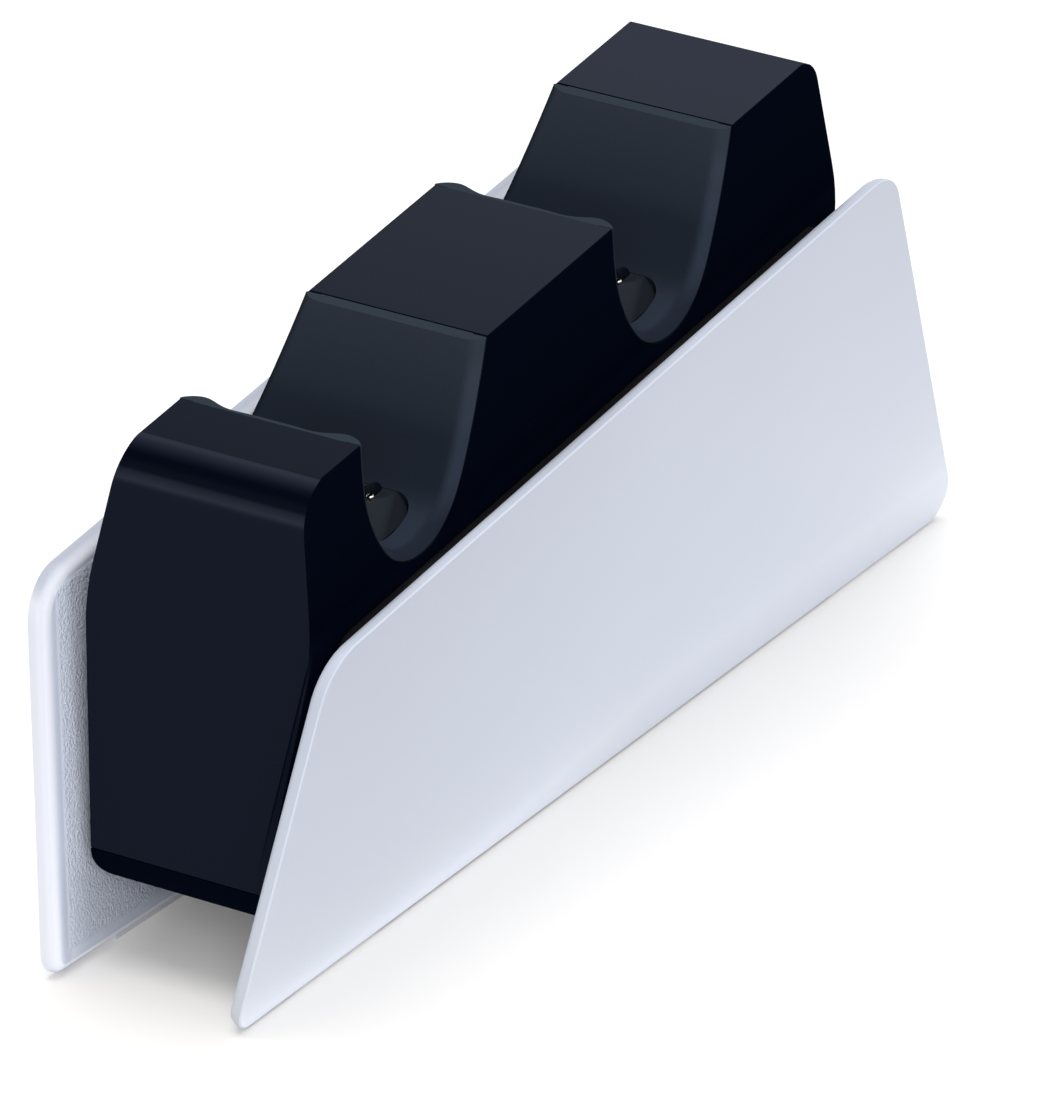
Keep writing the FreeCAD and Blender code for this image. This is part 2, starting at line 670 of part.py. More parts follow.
def panel_corners():
    front = (PANEL_FRONT_FOOT, 0.0), (math.sin(PANEL_FRONT_LEAN), math.cos(PANEL_FRONT_LEAN))
    rear = (PANEL_REAR_FOOT, 0.0), (-math.sin(PANEL_REAR_LEAN), math.cos(PANEL_REAR_LEAN))
    return quad(front, ramp_line(PANEL_TOP_DEPTH), rear, flat_line(FOOT_PROUD))


def panel_slab(outer_offset, inner_offset, d0, d1):
    """A plate parallel to the right panel, between two distances inside its outer face."""
    corners = [(panel_half(d0, inner_offset), d0), (panel_half(d0, outer_offset), d0),
               (panel_half(d1, outer_offset), d1), (panel_half(d1, inner_offset), d1)]
    points = [ramp(x, -40.0, d) for x, d in corners]
    return prism(Part.makePolygon(points + points[:1]), RAMP_ALONG * 290.0)


def outer_rim_edges(shape, offset):
    """The edges that lie all along a plane the given distance inside the panel's outer face."""
    found = []
    for edge in shape.Edges:
        first, last = edge.FirstParameter, edge.LastParameter
        points = [edge.valueAt(first + (last - first) * share) for share in (0.0, 0.37, 0.71, 1.0)]
        depths = [ramp_depth(p) for p in points]
        if all(abs(p.x - panel_half(d, offset)) < 1e-3 for p, d in zip(points, depths)):
            found.append(edge)
    return found


def build_panel():
    outline = prism(side_outline(panel_corners(), PANEL_CORNERS), V(2 * FAR, 0, 0))
    panel = panel_slab(0.0, PANEL, -10.0, 110.0).common(outline)
    panel = panel.makeFillet(PANEL_INNER_ROUND, outer_rim_edges(panel, PANEL))
    panel = panel.makeFillet(PANEL_OUTER_ROUND, outer_rim_edges(panel, 0.0))
    for s, d in PANEL_SCREWS:
        base = ramp(body_side(d) + 0.15, s, d)
        reach = panel_half(d, PANEL) + 1.0 - base.x
        boss = Part.makeCylinder(BOSS_RADIUS, reach, base, V(1, 0, 0))
        boss = boss.common(lower_side_outside(FIT_GAP))
        panel = panel.fuse(boss)
    panel = panel.removeSplitter()
    for s, d in PANEL_SCREWS:
        hole_end = panel_half(d, PANEL) + PANEL_SCREW_BITE + 0.15
        base = ramp(10.0, s, d)
        panel = panel.cut(Part.makeCylinder(SCREW_RADIUS + PILOT_GAP, hole_end - 10.0, base, V(1, 0, 0)))
    return panel.cut(pad_pockets())


def lower_side_outside(gap):
    """Everything outside the housing's flat lower side."""
    d0, d1 = -10.0, 110.0
    corners = [(body_side(d0) + gap, d0), (FAR, d0), (FAR, d1), (body_side(d1) + gap, d1)]
    points = [ramp(x, -40.0, d) for x, d in corners]
    return prism(Part.makePolygon(points + points[:1]), RAMP_ALONG * 290.0)


def build_spacer():
    side = quad(front_plane(SPACER_SETBACK), ramp_line(SPACER_DEPTH), rear_plane(SPACER_SETBACK),
                ramp_line(spacer_foot_depth()))
    outline = prism(side_outline(side, SPACER_CORNERS), V(2 * FAR, 0, 0))
    spacer = lower_side_outside(0.02).common(panel_slab(PANEL + 0.02, PANEL + 30.0, -10, 110)).common(outline)
    for s, d in PANEL_SCREWS:
        spacer = spacer.cut(Part.makeCylinder(BOSS_RADIUS + BOSS_GAP, 30.0, ramp(8.0, s, d), V(1, 0, 0)))
    return spacer


def pad_blocks(gap, lift):
    """The pads' rounded bars, from the lift below the panel up into it, and grown by the gap."""
    shapes = []
    for y in PAD_PLACES:
        depth = (TOP_HEIGHT + y * math.tan(SLOPE) - FOOT_PROUD) * math.cos(SLOPE)
        x0 = panel_half(depth, PAD_INSET + PAD_WIDTH) - gap
        x1 = x0 + PAD_WIDTH + 2 * gap
        toe = math.tan(PANEL_TILT) * math.sin(SLOPE)
        corners = [V(x0, -PAD_LENGTH / 2 - gap, 0), V(x1, -PAD_LENGTH / 2 - gap, 0),
                   V(x1, PAD_LENGTH / 2 + gap, 0), V(x0, PAD_LENGTH / 2 + gap, 0)]
        bar = prism(rounded_wire(corners, (PAD_ROUND,) * 4), V(0, 0, PAD_DEPTH + gap + FOOT_PROUD - lift))
        centre = V((x0 + x1) / 2, 0, 0)
        bar.rotate(centre, V(0, 0, 1), math.degrees(math.atan(toe)))
        bar.translate(V(0, y, lift))
        shapes.append(bar)
    return shapes


def pad_pockets():
    return Part.makeCompound(pad_blocks(0.03, FOOT_PROUD - 0.5))


def build_pads():
    return Part.makeCompound(pad_blocks(0.0, 0.0))


# Electrics and ballast

def build_main_board():
    y0, y1 = MAIN_BOARD_Y
    z = tray_floor_top() + MAIN_BOARD_LIFT
    half = MAIN_BOARD_HALF
    tongue, end = MAIN_BOARD_TONGUE
    corners = [V(-half, y0, z), V(half, y0, z), V(half - 1.0, y1, z), V(tongue, y1, z),
               V(tongue, end, z), V(-tongue, end, z), V(-tongue, y1, z), V(1.0 - half, y1, z)]
    board = prism(rounded_wire(corners, (1.5, 1.5, 1.5, 0.5, 0.5, 0.5, 0.5, 1.5)), V(0, 0, MAIN_BOARD))
    top = z + MAIN_BOARD
    chip = block(-3.5, 3.5, y0 + 22, y0 + 29, top, top + 1.2)
    coil = Part.makeCylinder(3.2, 3.6, V(0, y0 + 14, top))
    capacitors = [Part.makeCylinder(2.5, 7.0, V(x, y0 + 37, top)) for x in (-4.6, 4.6)]
    plugs = [block(x - 3.0, x + 3.0, y0 + 1.5, y0 + 6.0, top, top + 4.5) for x in (-4.2, 4.2)]
    return join([board, chip, coil] + capacitors + plugs)


def build_inlet():
    width, length, height = INLET_SIZE
    centre = inlet_centre()
    mouth = centre.y - WALL / math.cos(REAR_LEAN) - INLET_FRONT_GAP - 0.25
    z0 = centre.z - height / 2
    body = block(-width / 2, width / 2, mouth - length, mouth, z0, z0 + height)
    collar = Part.makeCylinder(INLET_WINDOW_RADIUS - 0.2, 1.6, V(0, mouth, centre.z), V(0, 1, 0))
    body = join([body, collar])
    bore = Part.makeCylinder(INLET_BORE, INLET_BORE_LENGTH + 1.6, V(0, mouth - INLET_BORE_LENGTH, centre.z), V(0, 1, 0))
    return body.cut(bore)


def build_inlet_pin():
    centre = inlet_centre()
    mouth = centre.y - WALL / math.cos(REAR_LEAN) - INLET_FRONT_GAP - 0.25
    pin = Part.makeCylinder(INLET_PIN, INLET_BORE_LENGTH - 1.0, V(0, mouth - INLET_BORE_LENGTH, centre.z), V(0, 1, 0))
    tip = [edge for edge in pin.Edges if edge.BoundBox.YMin > mouth - 1.5]
    return pin.makeFillet(0.5, tip)


def build_ballast():
    y0, y1 = BALLAST_Y
    z = tray_floor_top()
    form = block(-BALLAST_HALF, BALLAST_HALF, y0, y1, z, z + BALLAST_HEIGHT)
    upright = [edge for edge in form.Edges if edge.BoundBox.ZLength > 1]
    return form.makeFillet(BALLAST_RADIUS, upright)


def middle_shift():
    """How far the drawing moves along Y to bring the origin under the middle of the panels."""
    outline = side_outline(panel_corners(), PANEL_CORNERS).BoundBox
    return V(0, -(outline.YMin + outline.YMax) / 2, 0)


def build():
    outer = housing_body(0.0)
    cavity = housing_body(WALL)
    panel = build_panel()
    spacer = build_spacer()
    pads = build_pads()
    parts = {
        "housing": build_housing(outer, cavity),
        "base_tray": build_tray(outer, cavity),
        "base_screws": build_base_screws(),
        "side_panel_right": panel,
        "side_panel_left": mirror(panel),
        "spacer_plate_right": spacer,
        "spacer_plate_left": mirror(spacer),
        "panel_screws": build_panel_screws(),
        "foot_pads_right": pads,
        "foot_pads_left": mirror(pads),
        "main_board": build_main_board(),
        "power_inlet": build_inlet(),
        "power_inlet_pin": build_inlet_pin(),
        "ballast_weight": build_ballast(),
    }
    for name, start in zip(("front", "rear"), CRADLE_START):
        parts["cradle_liner_" + name] = build_liner(start)
        parts["contact_pod_" + name] = build_pod(start)
        parts["contact_sleeves_" + name] = build_sleeves(start)
        parts["terminal_board_" + name] = build_terminal_board(start)
        parts["pod_screws_" + name] = build_post_screws(start)
        pin = build_contact(start, CONTACT_X)
        spring = build_spring(start, CONTACT_X)
        for side, place in (("right", lambda shape: shape), ("left", mirror)):
            parts["contact_pin_" + name + "_" + side] = place(pin)
            parts["contact_spring_" + name + "_" + side] = place(spring)
    return parts


def main():
    os.makedirs("parts", exist_ok=True)
    shift = middle_shift()
    for name, shape in build().items():
        moved = shape.copy()
        moved.translate(shift)
        moved.exportStep("parts/" + name + ".step")


main()
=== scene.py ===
import math

import bpy
from bpy.props import FloatProperty, FloatVectorProperty, PointerProperty
from mathutils import Matrix, Vector

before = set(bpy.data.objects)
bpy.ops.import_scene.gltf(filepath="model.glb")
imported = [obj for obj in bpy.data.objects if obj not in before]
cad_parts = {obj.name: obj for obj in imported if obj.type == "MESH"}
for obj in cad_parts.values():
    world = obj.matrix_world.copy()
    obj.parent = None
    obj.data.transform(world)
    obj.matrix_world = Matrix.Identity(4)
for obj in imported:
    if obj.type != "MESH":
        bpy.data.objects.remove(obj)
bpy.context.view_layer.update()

bl_info = {
    "name": "Controller charging dock",
    "version": (1, 0, 0),
    "blender": (4, 5, 0),
    "location": "View3D > Sidebar > Dock",
    "description": "Gives the charging dock its finishes and builds its stage",
    "category": "Object",
}

RIGHT = (1.0, 0.0, 0.0)
AHEAD = (0.0, -1.0, 0.0)
BEHIND = (0.0, 1.0, 0.0)
WHITE = (1.0, 1.0, 1.0)

# The ramp that the block tops follow, in the frame of the CAD model
SLOPE = math.radians(7.36)
RAMP_START = (-0.1005786, 0.07265)
RAMP_UP = (0.0, -math.sin(SLOPE), math.cos(SLOPE))
RAMP_ALONG = (0.0, math.cos(SLOPE), math.sin(SLOPE))
RAMP_ZERO_UP = RAMP_START[0] * RAMP_UP[1] + RAMP_START[1] * RAMP_UP[2]
RAMP_ZERO_ALONG = RAMP_START[0] * RAMP_ALONG[1] + RAMP_START[1] * RAMP_ALONG[2]

# Distances along the ramp to the upper edges of the two backrests, and the dark seam behind each
BACKREST_TOPS = (0.0672, 0.1339)
SEAM_SETBACK = 0.00015
SEAM_FADE = (0.00015, 0.00022)

# Length of the ramp over which painted light makes the block tops grow paler towards the rear
TOPS_REACH = 0.150

# A panel seen from beside the dock: feet and leans of its front and rear edges, depth of its top edge, its height
# and the width over which its grain sets in
PANEL_FRONT_FOOT = RAMP_START[0] - 0.001
PANEL_REAR_FOOT = RAMP_START[0] + 0.205
PANEL_FRONT_LEAN = math.radians(11.48)
PANEL_REAR_LEAN = math.radians(29.8)
PANEL_TOP_DEPTH = 0.0173
PANEL_HEIGHT = 0.09
GRAIN_FADE = 0.0008

# Right panel: where its face's painted shade and the limit of its painted glow change lengthwise, and how that glow
# falls with height
RIGHT_FACE = (-0.09, 0.02)
RIGHT_LIMIT = (-0.06, 0.02)
GLOW_REACH = 0.00305
GLOW_START = 0.003
GLOW_LOSS = 0.058
GLOW_TINT = (1.0, 0.985, 0.945)

# Left panel: how painted shade darkens its inner face away from the front edge and near the floor, its narrow dark
# band, and the painted light on its front edge and inner face
LEFT_INWARD = (0.002, 0.009)
LEFT_LOW = (0.008, 0.022)
LEFT_BAND = 0.0031
LEFT_BAND_FADE = (0.0003, 0.0013)
LEFT_EDGE_LIGHT = (1.20, 1.15, 1.09)
LEFT_INNER_LIGHT = (1.14, 1.14, 1.15)

# The line on the front face beyond which its right corner has painted shade: place at the floor, slant and half width
CORNER_START = 0.009934
CORNER_SLANT = 0.168
CORNER_LINE = 0.0001
CORNER_FOOT = (0.018, 0.032)
CORNER_HEAD = (0.0505, 0.0530)
CORNER_WARM = (0.0009, 0.0011)
CORNER_WARM_FOOT = (0.032, 0.036)

# Where the painted light on the side of that corner ends in the gap: distance in from the panels' front edge, and
# height
GAP_FADE = (0.0055, 0.0065)
GAP_HEAD = (0.046, 0.054)

# Heights over which the tray's paler tone, painted light low down, turns into that of the body's sides
TRAY_FADE = (0.0125, 0.0160)

# Distances from the dock over which the floor's tone changes, and half the floor's width
FLOOR_AWAY = (0.12, 0.40)
FLOOR_REACH = 6.0

# Depths below the block tops over which painted light makes the body's sides paler beside the spacers
SPACER_FADE = (0.0185, 0.0215)

# Depths in the cradles: the liner's lip, its upper part, and the fades of its painted rim highlight, its darker
# middle and the painted light on its bottom
LIP_FADE = (0.0002, 0.0005)
UPPER_LINING = 0.011
RIM_HIGHLIGHT_FADES = (0.001, 0.005), (0.007, 0.012), (0.0150, 0.0195)
MIDDLE_FADES = (0.008, 0.012), (0.0155, 0.0185)
BOTTOM_FADE = (0.016, 0.019)

# Painted reflections on the front block's nose, light and dark bands, by how far its surface has turned from the
# block tops to the front face
NOSE_TURN = math.radians(90.0)
NOSE_REFLECTIONS = [(turn / 90.0, (red, green, blue)) for turn, red, green, blue in (
    (0.0, 0.0105, 0.0135, 0.0225), (6.5, 0.0105, 0.0135, 0.0225), (8.0, 0.0232, 0.0284, 0.0430),
    (12.0, 0.0222, 0.0272, 0.0418), (16.0, 0.0155, 0.0194, 0.0305), (20.0, 0.0110, 0.0142, 0.0240),
    (24.0, 0.0065, 0.0089, 0.0165), (28.0, 0.0037, 0.0054, 0.0115), (32.0, 0.0015, 0.0028, 0.0072),
    (38.0, 0.0015, 0.0028, 0.0072), (44.0, 0.0032, 0.0048, 0.0105), (49.0, 0.0038, 0.0056, 0.0118),
    (52.0, 0.0115, 0.0150, 0.0255), (60.0, 0.0222, 0.0272, 0.0418), (65.0, 0.0100, 0.0130, 0.0232),
    (68.0, 0.0084, 0.0114, 0.0210))]


class Signal:
    """An output in a shader graph, which sums and products can be written with."""

    def __init__(self, tree, socket):
        self.tree = tree
        self.socket = socket

    def math(self, operation, *values, clamp=False):
        node = self.tree.nodes.new("ShaderNodeMath")
        node.operation = operation
        node.use_clamp = clamp
        for target, value in zip(node.inputs, values or (self,)):
            feed(self.tree, target, value)
        return Signal(self.tree, node.outputs[0])

    def __add__(self, other):
        return self.math("ADD", self, other)

    def __radd__(self, other):
        return self.math("ADD", other, self)

    def __sub__(self, other):
        return self.math("SUBTRACT", self, other)

    def __rsub__(self, other):
        return self.math("SUBTRACT", other, self)

    def __mul__(self, other):
        return self.math("MULTIPLY", self, other)

    def __truediv__(self, other):
        return self.math("DIVIDE", self, other)

    def __rtruediv__(self, other):
        return self.math("DIVIDE", other, self)

    def __neg__(self):
        return self.math("MULTIPLY", self, -1.0)

    def __abs__(self):
        return self.math("ABSOLUTE", self)

    def least(self, other):
        return self.math("MINIMUM", self, other)

    def most(self, other):
        return self.math("MAXIMUM", self, other)

    def clamped(self):
        return self.math("ADD", self, 0.0, clamp=True)

    def between(self, low, high):
        """0 below low, 1 above high and a smooth rise in between."""
        node = self.tree.nodes.new("ShaderNodeMapRange")
        node.interpolation_type = "SMOOTHSTEP"
        feed(self.tree, node.inputs["Value"], self)
        node.inputs["From Min"].default_value = low
        node.inputs["From Max"].default_value = high
        return Signal(self.tree, node.outputs["Result"])


def feed(tree, target, value):
    """Links a signal to a socket, or sets a plain value or a linear colour on it."""
    if isinstance(value, Signal):
        tree.links.new(value.socket, target)
    elif target.type == "RGBA":
        target.default_value = (*value, 1.0)
    else:
        target.default_value = value


class Finish:
    """A material made of one Principled shader and the graph that feeds it."""

    def __init__(self, name, **constants):
        self.material = bpy.data.materials.new(name)
        self.material.use_nodes = True
        self.tree = self.material.node_tree
        self.shader = self.tree.nodes["Principled BSDF"]
        for socket, value in constants.items():
            self.shader.inputs[socket.replace("_", " ")].default_value = value

    def node(self, kind, settings=None, inputs=None, output=0):
        """Adds a node: its settings first, then the values or links of its sockets."""
        node = self.tree.nodes.new("ShaderNode" + kind)
        for name, value in (settings or {}).items():
            setattr(node, name, value)
        for name, value in (inputs or {}).items():
            feed(self.tree, node.inputs[name], value)
        return Signal(self.tree, node.outputs[output])

    def ramp(self, factor, stops):
        """A colour from a ramp of places and colours."""
        node = self.tree.nodes.new("ShaderNodeValToRGB")
        elements = node.color_ramp.elements
        while len(elements) < len(stops):
            elements.new(1.0)
        for element, (place, tone) in zip(elements, stops):
            element.position = place
            element.color = (*tone, 1.0)
        feed(self.tree, node.inputs["Fac"], factor)
        return Signal(self.tree, node.outputs["Color"])

    def drive(self, socket, value):
        feed(self.tree, self.shader.inputs[socket], value)

    def place(self):
        """Position on the dock, in metres."""
        return self.node("TexCoord", output="Object")

    def facing(self, direction):
        """How far the surface faces a direction, from -1 to 1."""
        normal = self.node("NewGeometry", output="Normal")
        return self.node("VectorMath", {"operation": "DOT_PRODUCT"}, {0: normal, 1: direction}, "Value")

    def along(self, direction, offset=0.0):
        """Distance along a direction, in metres."""
        return self.node("VectorMath", {"operation": "DOT_PRODUCT"},
                         {0: self.place(), 1: direction}, "Value") - offset

    def depth(self):
        """Depth below the ramp of the block tops."""
        return self.along(RAMP_UP, RAMP_ZERO_UP) * -1.0

    def front_distance(self):
        """Distance in from the panels' front edge, seen from beside the dock."""
        forward = (self.axis("Y") - PANEL_FRONT_FOOT) * math.cos(PANEL_FRONT_LEAN)
        return forward - self.axis("Z") * math.sin(PANEL_FRONT_LEAN)

    def axis(self, name):
        """One coordinate on the dock, in metres."""
        return self.node("SeparateXYZ", inputs={0: self.place()}, output=name)

    def noise(self, scale, detail=2.0, roughness=0.5, stretch=(1.0, 1.0, 1.0)):
        """Noise from 0 to 1 with about scale features to the metre."""
        place = self.place()
        if stretch != (1.0, 1.0, 1.0):
            place = self.node("VectorMath", {"operation": "MULTIPLY"}, {0: place, 1: stretch})
        return self.node("TexNoise", inputs={"Vector": place, "Scale": scale, "Detail": detail,
                                             "Roughness": roughness}, output=0)

    def cells(self, scale, stretch=(1.0, 1.0, 1.0)):
        """Distance to the nearest of about scale points to the metre."""
        place = self.node("VectorMath", {"operation": "MULTIPLY"}, {0: self.place(), 1: stretch})
        return self.node("TexVoronoi", inputs={"Vector": place, "Scale": scale})

    def blend(self, factor, first, second):
        """A colour between two colours."""
        node = self.tree.nodes.new("ShaderNodeMix")
        node.data_type = "RGBA"
        feed(self.tree, node.inputs[0], factor)
        feed(self.tree, node.inputs[6], first)
        feed(self.tree, node.inputs[7], second)
        return Signal(self.tree, node.outputs[2])

    def scaled(self, tone, factor):
        """A colour made brighter or darker."""
        return self.node("VectorMath", {"operation": "SCALE"}, {0: tone, "Scale": factor})

    def relief(self, height, depth):
        """Raises the surface by a height signal, depth metres for each unit."""
        return self.node("Bump", inputs={"Height": height, "Distance": depth, "Strength": 1.0}, output="Normal")

    def wear(self, *nodes, angle=25.0):
        """Puts the finish on CAD nodes and shades them smoothly across shallow edges."""
        for name in nodes:
            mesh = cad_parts[name].data
            mesh.materials.clear()
            mesh.materials.append(self.material)
            mesh.set_sharp_from_angle(angle=math.radians(angle))


def new_colour(name, default, description):
    return FloatVectorProperty(name=name, description=description, default=default,
                               subtype="COLOR", size=3, min=0.0, max=1.0)


class DockColours(bpy.types.PropertyGroup):
    """Colours of the dock's mouldings and metal."""

    # Satin colour of the block tops, with painted shade at the front block and painted light at the rear block
    top_front_satin_shaded: new_colour("Front block top", (0.0088, 0.0112, 0.0185), "Satin top of the lowest block")
    top_rear_satin_lit: new_colour("Rear block top", (0.0300, 0.0355, 0.0510), "Satin top of the highest block")
    body_side: new_colour("Body sides", (0.0012, 0.0027, 0.0076), "Gloss black sides of the housing")
    # Painted shade on the lower right corner of the front face
    corner_painted_shade: new_colour("Body corner", (0.0052, 0.0075, 0.0152), "Lower right corner of the housing's front")
    edge_line: new_colour("Corner line", (0.0015, 0.0027, 0.0075), "Thin line before that corner")
    edge_warm: new_colour("Corner strip", (0.0091, 0.0091, 0.0110), "Outermost strip of that corner")
    # Painted light on the side of that corner, deep in the gap
    gap_painted_light: new_colour("Corner side", (0.0280, 0.0330, 0.0500), "Side of that corner, deep in the gap")
    # The tray's colour low down, paler than the sides: painted light
    tray: new_colour("Base tray", (0.0018, 0.0040, 0.0090), "Underside of the body")
    liner: new_colour("Cradle liner", (0.0168, 0.0226, 0.0345), "Soft lining of the cradles")
    # Painted light: the lining paler at the tops of the backrests and on its upward-facing lip
    liner_high_lit: new_colour("Upper lining", (0.0262, 0.0325, 0.0450), "Tops of the backrests")
    liner_lip_lit: new_colour("Liner lip", (0.0310, 0.0415, 0.0530), "Upper edge of the lining")
    pod: new_colour("Contact pod", (0.0130, 0.0160, 0.0210), "Moulding around the contacts")
    # Painted light on the pod's sloping front, which faces upward
    pod_front: new_colour("Contact pod front", (0.0260, 0.0310, 0.0400), "Sloping front of that moulding")
    contact: new_colour("Contacts", (0.74, 0.73, 0.70), "Plated contact metal")
    contact_worn: new_colour("Worn contacts", (0.70, 0.67, 0.60), "Contact metal where it has worn")
    steel: new_colour("Steel", (0.45, 0.46, 0.48), "Screws and springs")
    steel_pale: new_colour("Pale steel", (0.62, 0.62, 0.64), "Bright streaks of the springs")
    steel_dark: new_colour("Dark steel", (0.30, 0.30, 0.32), "Dark streaks of the screws")
    panel: new_colour("Side panels", (0.665, 0.714, 0.832), "White side panels")
    spacer: new_colour("Spacers", (0.0032, 0.0033, 0.0040), "Dark plates behind the panels")
    spacer_fleck: new_colour("Spacer flecks", (0.0052, 0.0048, 0.0050), "Paler flecks of the spacers")
    rubber: new_colour("Foot pads", (0.80, 0.82, 0.86), "Clear rubber foot pads")
    rubber_fleck: new_colour("Foot pad flecks", (0.86, 0.87, 0.90), "Paler flecks of the pads")
    board: new_colour("Circuit boards", (0.01, 0.10, 0.04), "Solder mask of the boards")
    tracks: new_colour("Board tracks", (0.02, 0.16, 0.07), "Solder mask over the tracks")
    inlet: new_colour("Power inlet", (0.008, 0.008, 0.009), "Moulding of the inlet")
    inlet_fleck: new_colour("Inlet flecks", (0.014, 0.014, 0.015), "Paler flecks of the inlet")
    ballast: new_colour("Ballast", (0.28, 0.28, 0.29), "Rolled steel of the ballast")
    ballast_pale: new_colour("Ballast streaks", (0.42, 0.42, 0.43), "Paler streaks of the ballast")


class DockGrain(bpy.types.PropertyGroup):
    """Sizes of the surface textures."""

    panel_border: FloatProperty(name="Plain border", description="Width of the plain band around the panels' grain",
                                default=0.0032, min=0.0, unit="LENGTH")
    panel_grain: FloatProperty(name="Panel grain", description="Size of the grain inside the panels",
                               default=0.00045, min=0.0001, unit="LENGTH")
    liner_grain: FloatProperty(name="Liner grain", description="Size of the liners' fine grain",
                               default=0.0004, min=0.0001, unit="LENGTH")
    body_grain: FloatProperty(name="Body grain", description="Size of the satin grain on the block tops",
                              default=0.0003, min=0.0001, unit="LENGTH")


class DockStage(bpy.types.PropertyGroup):
    """Light and floor."""

    sky: FloatProperty(name="Sky", description="Strength of the even light from all round", default=0.57, min=0.0)
    key: FloatProperty(name="Key lamp", description="Power of the large lamp overhead", default=20.0, min=0.0,
                       unit="POWER")
    floor: new_colour("Floor", (0.96, 0.96, 0.96), "Floor and background")
    floor_near: new_colour("Floor near the dock", (0.972, 0.955, 0.928), "Floor that the panels' light falls on")
    lift: FloatProperty(name="Shadow lift", description="How much the floor's shadow is lightened", default=0.10,
                        min=0.0, max=1.0)


class DockOperator:
    """What every step of the dock shares."""

    bl_options = {"REGISTER", "UNDO"}

    def execute(self, context):
        self.make(context.scene)
        return {"FINISHED"}


class DOCK_OT_housing(DockOperator, bpy.types.Operator):
    """Satin tops, black sides and front face of the housing, and the base tray below it, with painted light, shade
    and reflections
    """

    bl_idname = "dock.housing"
    bl_label = "Housing and Base Tray"

    def make(self, scene):
        colours, grain = scene.dock_colours, scene.dock_grain
        finish = Finish("housing_satin", Specular_IOR_Level=0.0, Coat_Roughness=0.1, Coat_IOR=1.3)
        fleck = finish.noise(1.0 / grain.body_grain)
        along = finish.along(RAMP_ALONG, RAMP_ZERO_ALONG)
        # Painted light: the block tops grow paler towards the rear
        top = finish.blend((along / TOPS_REACH).clamped(), colours.top_front_satin_shaded, colours.top_rear_satin_lit)
        # Painted reflections on the nose, by how far the surface has turned from the tops
        tilt = finish.facing(RAMP_UP).math("ARCCOSINE") / NOSE_TURN
        nose_reflections = finish.ramp(tilt, NOSE_REFLECTIONS)
        ahead = finish.facing(AHEAD).between(0.20, 0.24)
        tone = finish.blend(ahead, top, nose_reflections)
        beside = abs(finish.facing(RIGHT)).between(0.30, 0.55)
        satin = (1.0 - beside) * (1.0 - finish.facing(BEHIND).between(0.35, 0.75))
        for edge in BACKREST_TOPS:
            satin = satin * abs(along - edge - SEAM_SETBACK).between(*SEAM_FADE)
        # Painted light: the body's sides paler beside the spacers
        side = finish.scaled(colours.body_side, 1.0 + finish.depth().between(*SPACER_FADE) * beside * 0.9)
        tone = self.corner(finish, colours, ahead, finish.blend(satin, side, tone))
        finish.drive("Base Color", finish.scaled(tone, 0.95 + fleck * 0.10))
        finish.drive("Roughness", 0.305 + fleck * 0.15)
        finish.drive("Normal", finish.relief(fleck, 0.000003))
        finish.wear("housing")

        tray = Finish("tray_gloss", Specular_IOR_Level=0.0, Coat_Roughness=0.08)
        fleck = tray.noise(1.0 / grain.body_grain)
        # Painted light: the tray paler low down than the body's sides above
        low = 1.0 - tray.axis("Z").between(*TRAY_FADE)
        tone = tray.blend(low, colours.body_side, colours.tray)
        tray.drive("Base Color", tray.scaled(tone, 0.9 + fleck * 0.2))
        tray.drive("Roughness", 0.22 + fleck * 0.08)
        tray.wear("base_tray")

    def corner(self, finish, colours, ahead, tone):
        """Paints shade on the front face's right corner, beyond a thin black line, and paints light on the side in
        the gap beside it.
        """
        height = finish.axis("Z")
        beyond = finish.axis("X") - height * CORNER_SLANT - CORNER_START
        raised = height.between(*CORNER_FOOT) * (1.0 - height.between(*CORNER_HEAD)) * ahead
        edge = beyond.between(-CORNER_LINE, CORNER_LINE)
        warm = beyond.between(*CORNER_WARM) * height.between(*CORNER_WARM_FOOT)
        line = 1.0 - abs(beyond).between(CORNER_LINE * 0.8, CORNER_LINE * 1.8)
        for cover, paint in ((edge, colours.corner_painted_shade), (warm, colours.edge_warm), (line, colours.edge_line)):
            tone = finish.blend(cover * raised, tone, paint)
        gap = 1.0 - finish.front_distance().between(*GAP_FADE)
        gap = gap * finish.facing(RIGHT).between(0.45, 0.65) * (1.0 - height.between(*GAP_HEAD))
        return finish.blend(gap, tone, colours.gap_painted_light)


